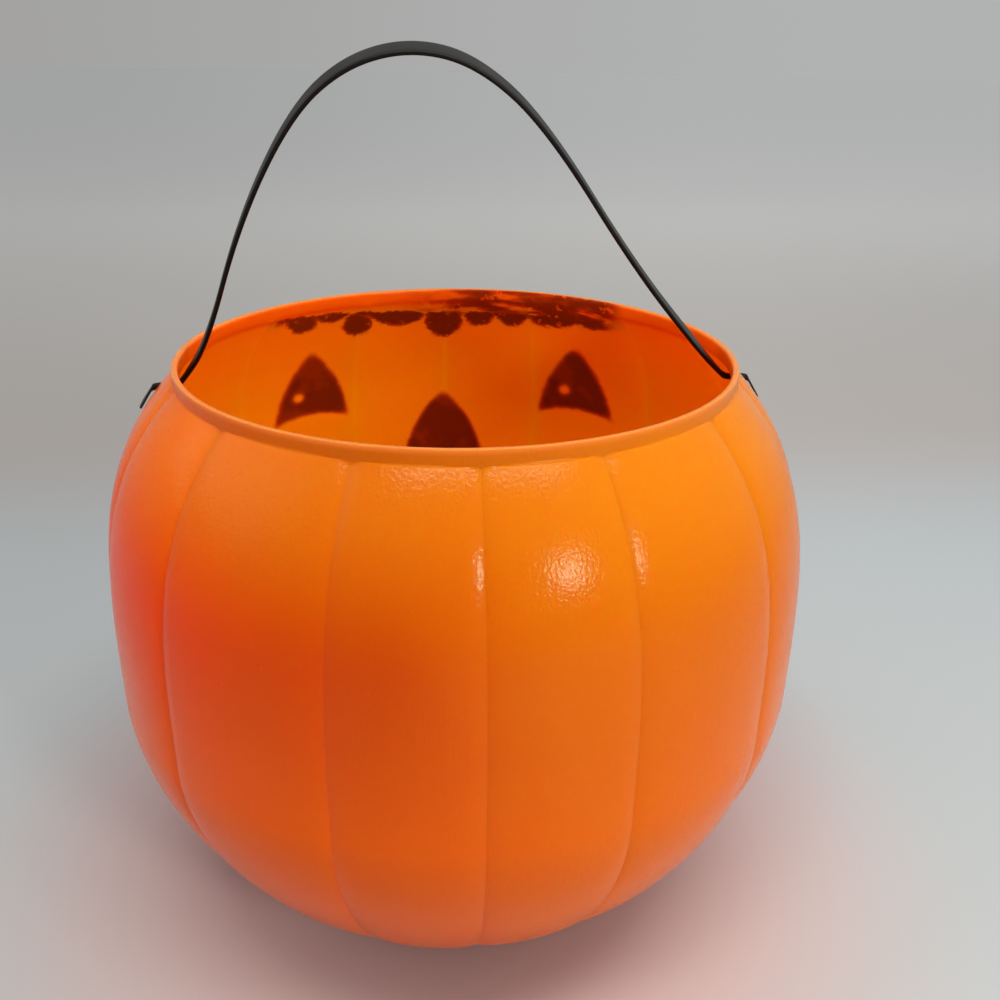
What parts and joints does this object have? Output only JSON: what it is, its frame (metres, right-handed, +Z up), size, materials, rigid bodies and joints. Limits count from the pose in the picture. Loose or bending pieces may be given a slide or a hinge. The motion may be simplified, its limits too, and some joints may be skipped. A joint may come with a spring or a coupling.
{
  "type": "pumpkin candy pail",
  "caption": "Hollow lobed pumpkin-shaped pail with an open round mouth, a painted jack-o'-lantern face and a thin strap handle that swings in two holes under the rim.",
  "frame": {"origin": "middle of the foot ring, on the surface that the pail stands on", "axes": "+Z up through the mouth, the painted face looks along -Y, the handle's hinge axis is along X"},
  "size_m": [0.2164, 0.2151, 0.2652],
  "materials": {
    "orange_shell": "satin translucent orange plastic",
    "black_strap": "matte black plastic, faintly streaked along its length",
    "black_paint": "thin matte black paint, worn"
  },
  "bodies": {
    "pail": {"pumpkin_shell": "orange_shell", "left_eye_paint": "black_paint", "right_eye_paint": "black_paint", "nose_paint": "black_paint", "mouth_paint": "black_paint", "fringe_paint": "black_paint"},
    "handle": {"handle_strap": "black_strap"}
  },
  "joints": [
    {"name": "handle_swing", "type": "hinge", "parent": "pail", "child": "handle", "pos_m": [0, 0, 0.171], "axis": [1, 0, 0], "range_deg": [-59, 92]}
  ]
}
